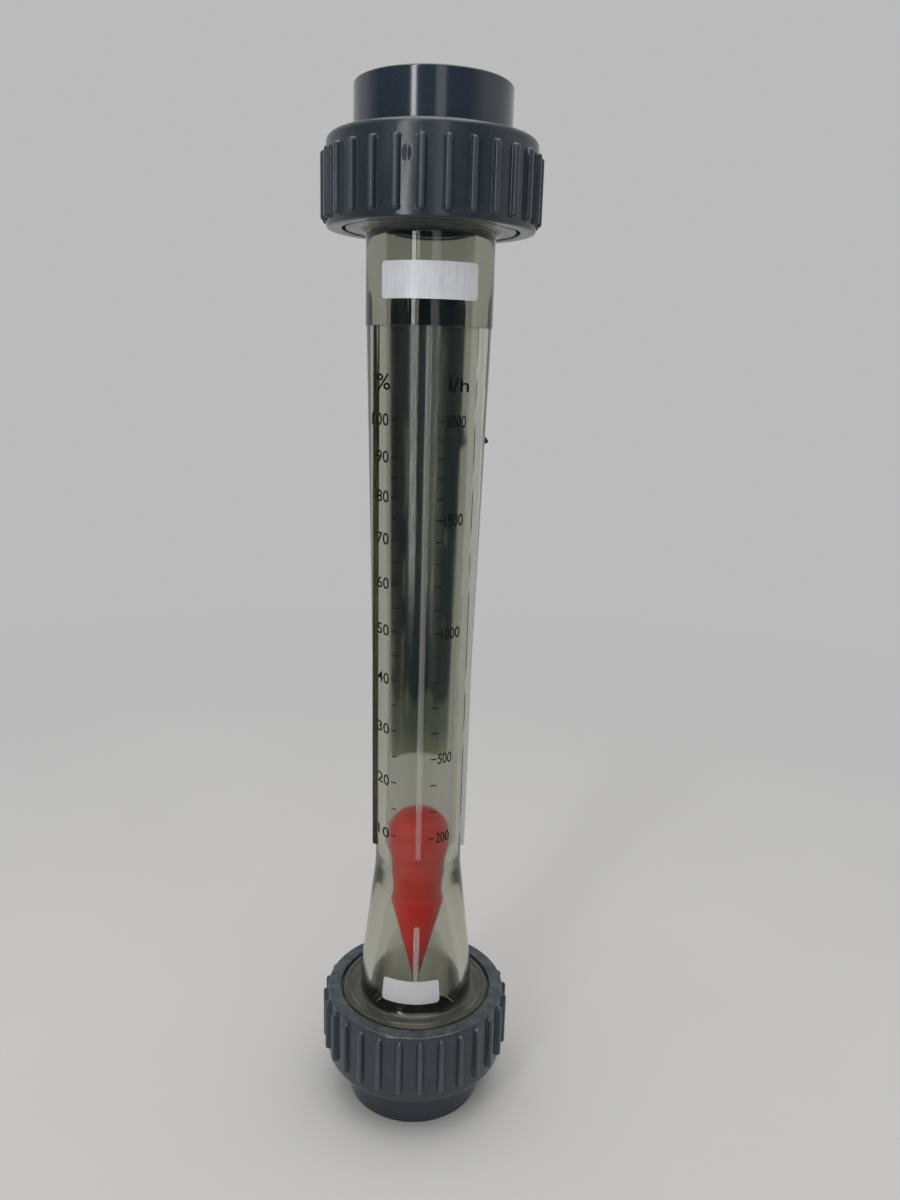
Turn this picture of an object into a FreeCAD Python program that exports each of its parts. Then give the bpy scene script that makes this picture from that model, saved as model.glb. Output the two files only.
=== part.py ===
"""Rotameter: a clear tapered measuring tube held between two plastic pipe unions.

The part stands on its lower end connector.  The origin is on the axis, in the plane of that
connector's mouth, with +Z up along the flow.  All lengths are in millimetres.

Every end piece is drawn once, at the foot, as rings around the axis.  The set at the top is
the same set turned over about the middle of the tube.
"""
import FreeCAD
import Part
import math
import os

V = FreeCAD.Vector
AXIS = V(0, 0, 1)
ORIGIN = V(0, 0, 0)

# ---------------------------------------------------------------- driving dimensions
tube_length = 350.0            # face to face of the measuring tube
clearance_running = 0.4        # radial room in the union: nut over connector and over thread
clearance_seat = 0.12          # room between pieces that rest on each other and can part
clearance_fit = 0.05           # room around a piece that is pressed, screwed or squeezed in
clearance_film = 0.2           # room under a label or film

# end connector, a pipe socket with a flange
socket_depth = 31.0
socket_radius = 25.1           # solvent socket for 50 mm pipe
socket_wall = 4.4
mouth_chamfer = 1.2
passage_radius = 22.0
connector_stop = 5.0           # length of the narrower passage behind the socket
flange_height = 8.0
flange_radius = 31.4

# face seal, a flat ring in a recess of the flange
seal_inner_radius = 23.0
seal_width = 4.2
seal_height = 2.8              # as squeezed when the union is tight

# union nut
nut_height = 32.0
nut_wall = 6.6                 # from the thread to the outside, under the ribs
nut_web = 9.7                  # end wall that pulls on the flange
nut_end_chamfer = 2.3
nut_mouth_chamfer = 0.7        # lead-in of the thread
rib_count = 28
rib_width = 3.0                # at the foot of a grip rib
rib_crest_width = 1.5
rib_height = 2.1               # how far a rib stands out of the nut's body
rib_end_chamfer = 1.3
rib_length = 24.4
rib_offset = 5.4               # from the nut's end face to the rib
rib_turn_lower = 3.85          # degrees, a rib from the front, seen from above
rib_turn_upper = -5.2

# measuring tube, outside
collar_radius = 32.4
collar_height = 14.0
collar_cone = 3.6              # sloping step from the collar to the tube
neck_radius = 24.5             # foot and head of the tube
waist_radius = 18.45
foot_level = 21.0              # where the foot starts to narrow, above the tube's lower face
waist_level = 74.0             # where it ends
scale_radius_low = 18.6        # at the lower end of the scale
scale_radius_high = 24.0       # at its upper end
scale_start = 85.0             # above the tube's lower face
head_length = 49.0             # from the end of the scale to the tube's upper face

# measuring tube, inside
inlet_radius = 19.6
throat_radius = 12.0
throat_start = 63.0
seat_level = 79.6              # where the throat opens into the seat
seat_height = 6.0
bore_radius_low = 13.42        # at the top of the seat
bore_radius_high = 17.0        # at the top of the scale
outlet_seat_radius = 19.6      # counterbore for the upper stop
outlet_seat_depth = 9.0

# rails and beads moulded on the tube
bead_radius = 1.4
bead_height = 0.7
foot_bead_length = 24.6         # the short bead on the foot, up from the lower label
rail_flank_low = 16.1          # from the mid plane to where the rail leaves the tube, lower end
rail_flank_high = 18.0
rail_reach_low = 19.7          # from the mid plane to the rail's outer edge
rail_reach_high = 20.6
rail_height_low = 1.7          # how far the outer edge stands off the tube
rail_height_high = 0.6
rail_wall = 2.4

# float
float_body_radius = 11.55
float_head_radius = 13.1
float_head_land = 6.0
float_dome_height = 8.6
float_shoulder_radius = 10.9   # where the crowned top bends
float_shoulder_height = 5.4
float_crown_radius = 5.6       # its flat middle
float_body_height = 18.3
float_cone_height = 44.0
float_tip_radius = 0.8
float_wall = 2.0
float_skirt_cone_end = 16.0    # how far the hollow runs down into the cone
cap_spigot_height = 5.0
weight_height = 34.0
weight_radius = 6.0

# upper stop, a three-armed ring
stop_ring_wall = 2.2
stop_ring_height = 8.6
stop_hub_radius = 4.0
stop_hub_height = 12.0
stop_arm_width = 2.4
stop_arm_height = 5.0
stop_arm_count = 3

# labels and the strip on the back of the tube
film_thickness = 0.2
label_upper_width = 34.6
label_upper_height = 13.1
label_upper_level = 9.3        # lower edge, above the end of the scale
label_lower_width = 24.0
label_lower_height = 10.3
label_lower_level = 6.0        # lower edge, above the lower collar
label_lower_shift = -1.9       # sideways
label_corner = 1.4
strip_start = 34.0             # from the start of the scale up to the strip
strip_overrun = 15.0           # how far the strip runs on above the scale
strip_edge_right = 124.0       # degrees from the front, seen from above
strip_edge_left = 115.0
strip_corner = 7.0
ear_level = 43.5               # tip of the strip's loose corner, below the end of the scale
ear_reach = 9.0
ear_overlap = 0.7              # how far the tongue runs back into the strip
ear_rise = 9.0
ear_drop = 4.0

# ---------------------------------------------------------------- sizes that follow
connector_length = socket_depth + connector_stop
socket_outer_radius = socket_radius + socket_wall
tube_bottom = connector_length
tube_top = tube_bottom + tube_length
overall_height = tube_top + connector_length
middle = overall_height / 2.0
nut_end = connector_length - flange_height - nut_web - clearance_seat
nut_mouth = nut_end + nut_height
nut_bore_radius = collar_radius + clearance_running
nut_radius = nut_bore_radius + nut_wall
foot_low = tube_bottom + foot_level
foot_high = tube_bottom + waist_level
scale_low = tube_bottom + scale_start
scale_high = tube_top - head_length
strip_low = scale_low + strip_start
strip_high = scale_high + strip_overrun
seat_top = tube_bottom + seat_level + seat_height
seal_outer_radius = seal_inner_radius + seal_width


def scale_radius(level):
    """Outer radius of the tube in its scale section, at a height above the foot."""
    share = (level - scale_low) / (scale_high - scale_low)
    return scale_radius_low + share * (scale_radius_high - scale_radius_low)


# ---------------------------------------------------------------- drawing helpers
def at(radius, level):
    """A point of a half section, in the XZ plane."""
    return V(radius, 0, level)


def ring(*corners):
    """Turn a closed half section of straight sides about the axis."""
    loop = [at(*point) for point in corners]
    return Part.Face(Part.makePolygon(loop + loop[:1])).revolve(ORIGIN, AXIS, 360)


def turned_over(shape):
    """The same piece at the other end of the tube."""
    copy = shape.copy()
    copy.rotate(V(0, 0, middle), V(1, 0, 0), 180)
    return copy


def turned(shape, degrees):
    """A copy turned about the axis."""
    copy = shape.copy()
    copy.rotate(ORIGIN, AXIS, degrees)
    return copy


def plate(points, depth_from, depth_to):
    """A flat plate drawn in the XZ plane and given its depth along Y."""
    loop = [V(x, depth_from, z) for x, z in points]
    face = Part.Face(Part.makePolygon(loop + loop[:1]))
    return face.extrude(V(0, depth_to - depth_from, 0))


def round_upright_corners(solid, radius):
    """Round the four edges of a plate that run along Y."""
    edges = []
    for edge in solid.Edges:
        start, end = edge.Vertexes[0].Point, edge.Vertexes[-1].Point
        if abs(start.x - end.x) < 1e-6 and abs(start.z - end.z) < 1e-6:
            edges.append(edge)
    return solid.makeFillet(radius, edges)


def panel(low, high, left_low, right_low, left_high, right_high, radius, side):
    """A plate with rounded corners that reaches from the axis out to one side, -1 for front."""
    points = [(left_low, low), (right_low, low), (right_high, high), (left_high, high)]
    far = side * 2.0 * collar_radius
    return round_upright_corners(plate(points, 0, far), radius)


# ---------------------------------------------------------------- unions
def end_connector():
    """Pipe socket with a flange and a recess in its face for the seal."""
    outer, top = socket_outer_radius, connector_length
    flange_low = top - flange_height
    recess_radius = seal_outer_radius + clearance_seat
    recess_floor = top - seal_height - clearance_fit
    return ring(
        (socket_radius + mouth_chamfer, 0),
        (outer, 0),
        (outer, flange_low),
        (flange_radius, flange_low),
        (flange_radius, top),
        (recess_radius, top),
        (recess_radius, recess_floor),
        (passage_radius, recess_floor),
        (passage_radius, socket_depth),
        (socket_radius, socket_depth),
        (socket_radius, mouth_chamfer))


def seal_ring():
    """The seal, as it sits squeezed between the flange and the tube."""
    top = connector_length - clearance_fit / 2.0
    bottom = top - seal_height
    return ring((seal_inner_radius, bottom), (seal_outer_radius, bottom),
                (seal_outer_radius, top), (seal_inner_radius, top))


def nut_body():
    """The nut without its ribs."""
    hole = socket_outer_radius + clearance_running
    web_top = nut_end + nut_web
    return ring(
        (hole, nut_end),
        (nut_radius - nut_end_chamfer, nut_end),
        (nut_radius, nut_end + nut_end_chamfer),
        (nut_radius, nut_mouth),
        (nut_bore_radius + nut_mouth_chamfer, nut_mouth),
        (nut_bore_radius, nut_mouth - nut_mouth_chamfer),
        (nut_bore_radius, web_top),
        (hole, web_top))


def grip_rib():
    """One tapered rib with chamfered ends, at the front of the nut."""
    foot, crest = -(nut_radius - rib_height), -(nut_radius + rib_height)
    half, crest_half = rib_width / 2.0, rib_crest_width / 2.0
    low = nut_end + rib_offset
    section = [V(-half, foot, low), V(half, foot, low), V(half, -nut_radius, low),
               V(crest_half, crest, low), V(-crest_half, crest, low), V(-half, -nut_radius, low)]
    bar = Part.Face(Part.makePolygon(section + section[:1])).extrude(AXIS * rib_length)
    ends = []
    for edge in bar.Edges:
        box = edge.BoundBox
        if box.YMax < crest + clearance_fit and box.ZLength < clearance_fit:
            ends.append(edge)
    return bar.makeChamfer(rib_end_chamfer, ends)


def union_nut(first_rib):
    """The nut at the foot, with its ribs turned by an angle from the front."""
    rib = grip_rib()
    pitch = 360.0 / rib_count
    ribs = [turned(rib, first_rib + index * pitch) for index in range(rib_count)]
    return nut_body().multiFuse(ribs)


# ---------------------------------------------------------------- measuring tube
def foot_radius(level):
    """Outer radius of the tapering foot at a height above the ground."""
    share = (level - foot_low) / (foot_high - foot_low)
    return neck_radius + max(0.0, share) * (waist_radius - neck_radius)


def tube_blank():
    """The moulding turned about the axis, outside and inside."""
    low_land = tube_bottom + collar_height
    high_land = tube_top - collar_height
    step_radius = neck_radius + collar_cone
    stop_seat = tube_top - outlet_seat_depth
    return ring(
        (inlet_radius, tube_bottom),
        (collar_radius, tube_bottom),
        (collar_radius, low_land),
        (step_radius, low_land),
        (neck_radius, low_land + collar_cone),
        (neck_radius, foot_low),
        (waist_radius, foot_high),
        (scale_radius_low, scale_low),
        (scale_radius_high, scale_high),
        (neck_radius, scale_high),
        (neck_radius, high_land - collar_cone),
        (step_radius, high_land),
        (collar_radius, high_land),
        (collar_radius, tube_top),
        (outlet_seat_radius, tube_top),
        (outlet_seat_radius, stop_seat),
        (bore_radius_high, stop_seat),
        (bore_radius_high, scale_high),
        (bore_radius_low, seat_top),
        (throat_radius, seat_top - seat_height),
        (throat_radius, tube_bottom + throat_start),
        (inlet_radius, low_land + collar_cone))


def front_bead(low, high, radius_low, radius_high):
    """A half-round bead down the front, along a stretch of cone."""
    sink = bead_radius - bead_height
    start = V(0, sink - radius_low, low)
    end = V(0, sink - radius_high, high)
    return Part.makeCylinder(bead_radius, (end - start).Length, start, end - start)


def foot_bead():
    """The short bead on the foot, from the lower label up."""
    low = tube_bottom + collar_height + label_lower_level + label_lower_height + clearance_film
    high = low + foot_bead_length
    return front_bead(low, high, foot_radius(low), foot_radius(high))


def rail_section(level, flank, reach, height):
    """Outline of the right-hand rail across the tube, at one level."""
    radius = scale_radius(level)
    root = V(flank, -math.sqrt(radius ** 2 - flank ** 2), level)
    edge_radius = radius + height
    edge = V(reach, -math.sqrt(edge_radius ** 2 - reach ** 2), level)
    inward = V(-edge.x, -edge.y, 0).normalize()
    along = V(-edge.y, edge.x, 0).normalize()
    back = edge + along * rail_wall
    heel = back + inward * (height + rail_wall)
    buried = V(root.x * 0.9, root.y * 0.9, level)
    return Part.makePolygon([buried, root, edge, back, heel, buried])


def rails():
    """The two guide rails beside the scale, mirror images of each other."""
    low = rail_section(scale_low, rail_flank_low, rail_reach_low, rail_height_low)
    high = rail_section(scale_high, rail_flank_high, rail_reach_high, rail_height_high)
    right = Part.makeLoft([low, high], True, True)
    return [right, right.mirror(ORIGIN, V(1, 0, 0))]


def measuring_tube():
    """The clear moulding with its beads and rails."""
    scale_bead = front_bead(scale_low, scale_high, scale_radius_low, scale_radius_high)
    return tube_blank().multiFuse([scale_bead, foot_bead()] + rails())


# ---------------------------------------------------------------- float
def float_levels():
    """Heights of the float at rest: tip, shoulder of the cone, head, land and top."""
    rise = seat_height / (bore_radius_low - throat_radius)
    head = seat_top - rise * (bore_radius_low - float_head_radius - clearance_seat)
    neck = head - rise * (float_head_radius - float_body_radius)
    shoulder = neck - float_body_height
    return shoulder - float_cone_height, shoulder, neck, head, head + float_head_land


def float_shell():
    """The red float: a cone, a round body and a wider head, hollow for its weight."""
    tip, shoulder, neck, head, land = float_levels()
    weight_bottom = shoulder - float_skirt_cone_end
    return ring(
        (0, tip),
        (float_tip_radius, tip + float_tip_radius),
        (float_body_radius, shoulder),
        (float_body_radius, neck),
        (float_head_radius, head),
        (float_head_radius, land),
        (float_body_radius - float_wall, land),
        (float_body_radius - float_wall, land - cap_spigot_height),
        (weight_radius, land - cap_spigot_height),
        (weight_radius, weight_bottom),
        (0, weight_bottom))


def float_cap():
    """The crowned cap that closes the float, with a spigot that sits in the head."""
    land = float_levels()[4]
    spigot_radius = float_body_radius - float_wall - clearance_fit
    spigot_end = land - cap_spigot_height + clearance_fit
    return ring(
        (0, spigot_end),
        (spigot_radius, spigot_end),
        (spigot_radius, land),
        (float_head_radius, land),
        (float_shoulder_radius, land + float_shoulder_height),
        (float_crown_radius, land + float_dome_height),
        (0, land + float_dome_height))


def float_weight():
    """The steel slug inside the float."""
    shoulder = float_levels()[1]
    bottom = shoulder - float_skirt_cone_end + clearance_fit
    radius = weight_radius - clearance_fit
    return Part.makeCylinder(radius, weight_height, V(0, 0, bottom))


def upper_stop():
    """A ring with three arms and a hub, dropped into the tube's upper end."""
    top = tube_top - clearance_seat
    bottom = tube_top - outlet_seat_depth
    outer = outlet_seat_radius - clearance_seat
    inner = outer - stop_ring_wall
    low = top - stop_ring_height
    hoop = ring((inner, low), (outer, low), (outer, top), (inner, top))
    hub_low = top - stop_hub_height
    hub = Part.makeCylinder(stop_hub_radius, stop_hub_height, V(0, 0, hub_low))
    reach = inner + stop_ring_wall / 2.0
    arm = Part.makeBox(reach, stop_arm_width, stop_arm_height,
                       V(0, -stop_arm_width / 2.0, bottom + clearance_seat))
    step = 360.0 / stop_arm_count
    arms = [turned(arm, 90 + index * step) for index in range(stop_arm_count)]
    return hoop.multiFuse([hub] + arms)


# ---------------------------------------------------------------- labels and strip
def upper_label():
    """The plate-like label wrapped on the head of the tube."""
    low = scale_high + label_upper_level
    high = low + label_upper_height
    inner = neck_radius + clearance_film
    skin = ring((inner, low - 1), (inner + film_thickness, low - 1),
                (inner + film_thickness, high + 1), (inner, high + 1))
    half = label_upper_width / 2.0
    return skin.common(panel(low, high, -half, half, -half, half, label_corner, -1))


def lower_label():
    """The small label wrapped on the foot, under the short bead."""
    low = tube_bottom + collar_height + label_lower_level
    high = low + label_lower_height
    inner = [(foot_radius(level) + clearance_film, level) for level in (low, foot_low, high)]
    outer = [(radius + film_thickness, level) for radius, level in reversed(inner)]
    skin = ring(*inner, *outer)
    left = label_lower_shift - label_lower_width / 2.0
    right = left + label_lower_width
    return skin.common(panel(low, high, left, right, left, right, label_corner, -1))


def strip_skin():
    """A closed ring of film over the scale section and the step above it."""
    low, high = strip_low, strip_high
    thick = film_thickness
    inner_low = scale_radius(low) + clearance_film
    inner_step = scale_radius_high + clearance_film
    inner_high = neck_radius + clearance_film
    under_step = scale_high - clearance_film
    return ring(
        (inner_low, low), (inner_low + thick, low),
        (inner_step + thick, under_step - thick),
        (inner_high + thick, under_step - thick),
        (inner_high + thick, high), (inner_high, high),
        (inner_high, under_step), (inner_step, under_step))


def loose_ear():
    """The strip's loose corner: a small pointed tongue that leaves the tube on a tangent."""
    turn = math.radians(strip_edge_right)
    outward = V(math.sin(turn), -math.cos(turn), 0)
    along = V(-math.cos(turn), -math.sin(turn), 0)
    loop = []
    for lift, reach in ((ear_rise, -ear_overlap), (0, ear_reach), (-ear_drop, -ear_overlap)):
        level = scale_high - ear_level + lift
        root = outward * (scale_radius(level) + clearance_film) + AXIS * level
        loop.append(root + along * reach)
    face = Part.Face(Part.makePolygon(loop + loop[:1]))
    return face.extrude(outward * film_thickness)


def back_strip():
    """The dark strip on the back of the tube, with one loose corner lifting at its edge."""
    low, high = strip_low, strip_high
    right = math.sin(math.radians(strip_edge_right))
    left = math.sin(math.radians(strip_edge_left))
    radius_low, radius_high = scale_radius(low), scale_radius(high)
    area = panel(low, high, -left * radius_low, right * radius_low,
                 -left * radius_high, right * radius_high, strip_corner, 1)
    return strip_skin().common(area).fuse(loose_ear())


def save(name, shape):
    """Write one piece, after a look at what it is."""
    shape = shape.removeSplitter()
    solid = shape.Solids[0] if len(shape.Solids) == 1 else shape
    box = solid.BoundBox
    print("%-22s solids %d valid %s volume %9.1f  z %7.2f to %7.2f  reach %6.2f" % (
        name, len(shape.Solids), solid.isValid(), solid.Volume, box.ZMin, box.ZMax, box.XMax))
    solid.exportStep(os.path.join("parts", name + ".step"))


def main():
    """Build and write every piece."""
    os.makedirs("parts", exist_ok=True)
    save("measuring_tube", measuring_tube())
    save("lower_end_connector", end_connector())
    save("upper_end_connector", turned_over(end_connector()))
    save("lower_seal_ring", seal_ring())
    save("upper_seal_ring", turned_over(seal_ring()))
    save("lower_union_nut", union_nut(rib_turn_lower))
    save("upper_union_nut", turned_over(union_nut(-rib_turn_upper)))
    save("float_shell", float_shell())
    save("float_cap", float_cap())
    save("float_weight", float_weight())
    save("upper_float_stop", upper_stop())
    save("upper_label", upper_label())
    save("lower_label", lower_label())
    save("back_strip", back_strip())


main()
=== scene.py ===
"""Looks of a rotameter: a clear tapered measuring tube held between two plastic pipe unions.

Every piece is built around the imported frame.  Sizes are in millimetres, with the origin on the
axis at the lower mouth, +Z up along the flow and the front of the scale towards -Y.  A place
around the axis is an angle from the front, in degrees, positive to the right seen from the front.
A finished mesh is brought to metres once, when it is handed over.
"""
import logging
import math
from collections.abc import Callable, Sequence
from dataclasses import dataclass
from enum import Enum

import bmesh
import bpy
from bmesh.types import BMesh, BMFace, BMVert
from bpy.types import Material, Mesh, Node, NodeSocket, NodeTree, Object
from mathutils import Matrix, Vector


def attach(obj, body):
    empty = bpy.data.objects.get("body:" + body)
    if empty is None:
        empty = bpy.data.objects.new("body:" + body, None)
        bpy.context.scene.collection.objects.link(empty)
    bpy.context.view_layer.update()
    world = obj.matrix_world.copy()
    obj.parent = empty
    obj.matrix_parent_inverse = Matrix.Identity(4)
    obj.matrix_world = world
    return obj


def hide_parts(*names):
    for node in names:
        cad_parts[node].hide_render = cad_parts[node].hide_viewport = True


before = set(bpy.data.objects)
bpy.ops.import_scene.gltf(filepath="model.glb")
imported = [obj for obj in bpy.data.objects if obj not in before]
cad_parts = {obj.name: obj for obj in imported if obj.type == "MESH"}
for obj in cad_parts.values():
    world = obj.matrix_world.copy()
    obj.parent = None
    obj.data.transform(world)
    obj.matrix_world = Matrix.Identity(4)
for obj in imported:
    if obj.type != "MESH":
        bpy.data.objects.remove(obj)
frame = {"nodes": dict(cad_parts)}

log = logging.getLogger("rotameter")

MM = 0.001
HALF_TURN = 180.0
FULL_TURN = 360.0
MIDDLE = 211.0
Colour = tuple[float, float, float]
DUST_COLOUR = (0.33, 0.32, 0.30)
FLECK_COLOUR = (0.30, 0.31, 0.32)
RUST_COLOUR = (0.30, 0.27, 0.24)


class Body(Enum):
    """The moving groups of the frame."""

    TUBE = "tube_assembly"
    FLOAT = "float"
    LOWER_NUT = "lower_nut"
    UPPER_NUT = "upper_nut"


class Slot(Enum):
    """The record's material slots."""

    TUBE = "clear_plastic"
    UNION = "union_plastic"
    NUT = "nut_plastic"
    SEAL = "seal_rubber"
    FLOAT = "float_red"
    WEIGHT = "weight_steel"
    STOP = "stop_plastic"
    SILVER = "label_silver"
    WHITE = "label_white"
    STRIP = "strip_film"


class End(Enum):
    """Which end of the tube a union piece belongs to."""

    LOWER = "lower"
    UPPER = "upper"


# ------------------------------------------------------------------ finishes
class Graph:
    """A small hand for wiring a material's or a group's nodes."""

    def __init__(self, tree: NodeTree) -> None:
        """Take hold of a node tree."""
        self.tree = tree

    def add(self, kind: str, inputs: dict[str | int, object] | None = None,
            **settings: object) -> Node:
        """Add a node, set it up and feed its inputs.

        Args:
            kind: the node's type name, without the shader prefix.
            inputs: a value or a socket for each input, by name or number.
            **settings: properties of the node itself.

        Returns:
            The new node.
        """
        node = self.tree.nodes.new("ShaderNode" + kind)
        for name, value in settings.items():
            setattr(node, name, value)
        self.feed(node, inputs or {})
        return node

    def feed(self, node: Node, inputs: dict[str | int, object]) -> None:
        """Give a node's inputs their values, or join them to sockets.

        Args:
            node: the node to be fed.
            inputs: for each input, a value, a colour without alpha, a socket, or a node whose
                first output is meant.
        """
        for key, value in inputs.items():
            target = node.inputs[key]
            if isinstance(value, Node):
                value = value.outputs[0]
            if isinstance(value, NodeSocket):
                self.tree.links.new(value, target)
            else:
                target.default_value = (*value, 1.0) if target.type == "RGBA" else value

    def math(self, operation: str, *values: object) -> NodeSocket:
        """Return the result of an arithmetic node."""
        return self.add("Math", dict(enumerate(values)), operation=operation).outputs[0]

    def times(self, first: object, second: object) -> NodeSocket:
        """Return a product."""
        return self.math("MULTIPLY", first, second)

    def plus(self, first: object, second: object) -> NodeSocket:
        """Return a sum."""
        return self.math("ADD", first, second)

    def blend(self, share: object, first: object, second: object) -> NodeSocket:
        """Return a mix of two colours by a share between 0 and 1."""
        node = self.add("Mix", {0: share, 6: first, 7: second}, data_type="RGBA")
        return node.outputs[2]

    def span(self, value: object, low: float, high: float, to_low: float = 0.0,
             to_high: float = 1.0) -> NodeSocket:
        """Return a value stretched from one range to another, held at its ends."""
        node = self.add("MapRange", {0: value, 1: low, 2: high, 3: to_low, 4: to_high})
        return node.outputs[0]

    def place(self, upright: float = 1.0, across: float = 1.0) -> NodeSocket:
        """Return the piece's own coordinates, scaled along the axis and across it."""
        where = self.add("TexCoord").outputs["Object"]
        scale = (across, across, upright)
        return self.add("Mapping", {"Vector": where, "Scale": scale}).outputs[0]

    def part(self, vector: object, axis: str) -> NodeSocket:
        """Return one part of a vector."""
        return self.add("SeparateXYZ", {0: vector}).outputs[axis]

    def painted(self, name: str) -> NodeSocket:
        """Return a value that the mesh carries at its corners."""
        return self.add("Attribute", attribute_name=name).outputs["Fac"]

    def bump(self, strength: float, depth: object, height: object) -> NodeSocket:
        """Return the normal of a surface with fine relief."""
        return self.add("Bump", {"Strength": strength, "Distance": depth,
                                 "Height": height}).outputs[0]

    def noise(self, where: object, scale: object, detail: float = 3.0,
              rough: float = 0.5) -> NodeSocket:
        """Return a noise value."""
        return self.add("TexNoise", {"Vector": where, "Scale": scale, "Detail": detail,
                                     "Roughness": rough}).outputs[0]


def open_group(name: str, inputs: Sequence[str],
               outputs: dict[str, str]) -> tuple[NodeTree, Graph, Node, Node]:
    """Start a node group that is shared by several finishes.

    Args:
        name: the group's name.
        inputs: names of its number inputs.
        outputs: socket type of each output, by name.

    Returns:
        The tree, its wiring hand and its input and output nodes.
    """
    tree = bpy.data.node_groups.new(name, "ShaderNodeTree")
    for label in inputs:
        tree.interface.new_socket(label, in_out="INPUT", socket_type="NodeSocketFloat")
    for label, kind in outputs.items():
        tree.interface.new_socket(label, in_out="OUTPUT", socket_type=kind)
    start = tree.nodes.new("NodeGroupInput")
    end = tree.nodes.new("NodeGroupOutput")
    return tree, Graph(tree), start, end


def moulded_skin() -> NodeTree:
    """Return the group for the skin of a moulding: a fine grain with faint flow clouds."""
    tree, g, start, end = open_group(
        "moulded_skin", ("Grain", "Depth"),
        {"Cloud": "NodeSocketFloat", "Speckle": "NodeSocketFloat", "Normal": "NodeSocketVector"})
    own = g.place()
    cloud = g.noise(own, 45.0, 4.0, 0.55)
    fine = g.noise(own, start.outputs["Grain"], 4.0, 0.6)
    coarse = g.noise(own, 260.0, 2.0, 0.5)
    height = g.plus(g.times(fine, 0.6), g.times(coarse, 0.9))
    speckle = g.span(g.noise(own, 1500.0, 1.0, 0.4), 0.66, 0.74)
    g.feed(end, {"Cloud": g.span(cloud, 0.32, 0.68), "Speckle": speckle,
                 "Normal": g.bump(1.0, start.outputs["Depth"], height)})
    return tree


def settled_dust() -> NodeTree:
    """Return the group for handling marks: dust on upward faces and faint wiped smears."""
    tree, g, start, end = open_group("settled_dust", ("Amount",),
                                     {"Mask": "NodeSocketFloat", "Smear": "NodeSocketFloat"})
    own = g.place()
    facing = g.part(g.add("NewGeometry").outputs["Normal"], "Z")
    up = g.span(facing, 0.15, 0.95)
    patch = g.span(g.noise(own, 160.0, 5.0, 0.65), 0.42, 0.7)
    mask = g.times(g.times(up, patch), start.outputs["Amount"])
    wiped = g.noise(g.place(0.22), 90.0, 4.0, 0.6)
    smear = g.times(g.span(wiped, 0.48, 0.74), start.outputs["Amount"])
    g.feed(end, {"Mask": mask, "Smear": smear})
    return tree


class Shared:
    """The node groups, made once and then used by name."""

    made: dict[str, NodeTree] = {}

    @classmethod
    def use(cls, graph: Graph, make: Callable[[], NodeTree], **values: float) -> Node:
        """Put a shared group into a material.

        Args:
            graph: the material's wiring hand.
            make: the function that builds the group the first time.
            **values: numbers for its inputs.

        Returns:
            The group node.
        """
        if make.__name__ not in cls.made:
            cls.made[make.__name__] = make()
        node = graph.tree.nodes.new("ShaderNodeGroup")
        node.node_tree = cls.made[make.__name__]
        for label, value in values.items():
            node.inputs[label].default_value = value
        return node


def fresh_material(name: str) -> tuple[Material, Graph, Node, Node]:
    """Return a new material with its wiring hand, its main shader and its output."""
    material = bpy.data.materials.new(name)
    material.use_nodes = True
    nodes = material.node_tree.nodes
    return material, Graph(material.node_tree), nodes["Principled BSDF"], nodes["Material Output"]


@dataclass(frozen=True)
class MouldedPlastic:
    """Opaque injection-moulded plastic."""

    name: str
    colour: Colour
    cloud_colour: Colour
    roughness: float
    roughness_swing: float
    coat: float
    grain: float
    depth: float
    dust: float
    rubbed_colour: Colour | None = None

    def material(self) -> Material:
        """Build the finish."""
        material, g, main, _ = fresh_material(self.name)
        skin = Shared.use(g, moulded_skin, Grain=self.grain, Depth=self.depth * MM)
        dust = Shared.use(g, settled_dust, Amount=self.dust)
        colour = g.blend(skin.outputs["Cloud"], self.colour, self.cloud_colour)
        if self.rubbed_colour:
            patchy = g.times(g.painted("rub"), g.span(skin.outputs["Cloud"], 0.0, 1.0, 0.45, 1.0))
            colour = g.blend(patchy, colour, self.rubbed_colour)
        pale = g.times(dust.outputs["Mask"], 0.45)
        colour = g.blend(pale, colour, DUST_COLOUR)
        fleck = g.times(skin.outputs["Speckle"], 0.05)
        colour = g.blend(fleck, colour, FLECK_COLOUR)
        low, high = self.roughness, self.roughness + self.roughness_swing
        rough = g.plus(g.span(skin.outputs["Cloud"], 0.0, 1.0, low, high),
                       g.times(dust.outputs["Smear"], 0.18))
        g.feed(main, {"Base Color": colour, "Roughness": rough, "Normal": skin.outputs["Normal"],
                      "IOR": 1.52, "Coat Weight": self.coat, "Coat Roughness": 0.12})
        return material


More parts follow.
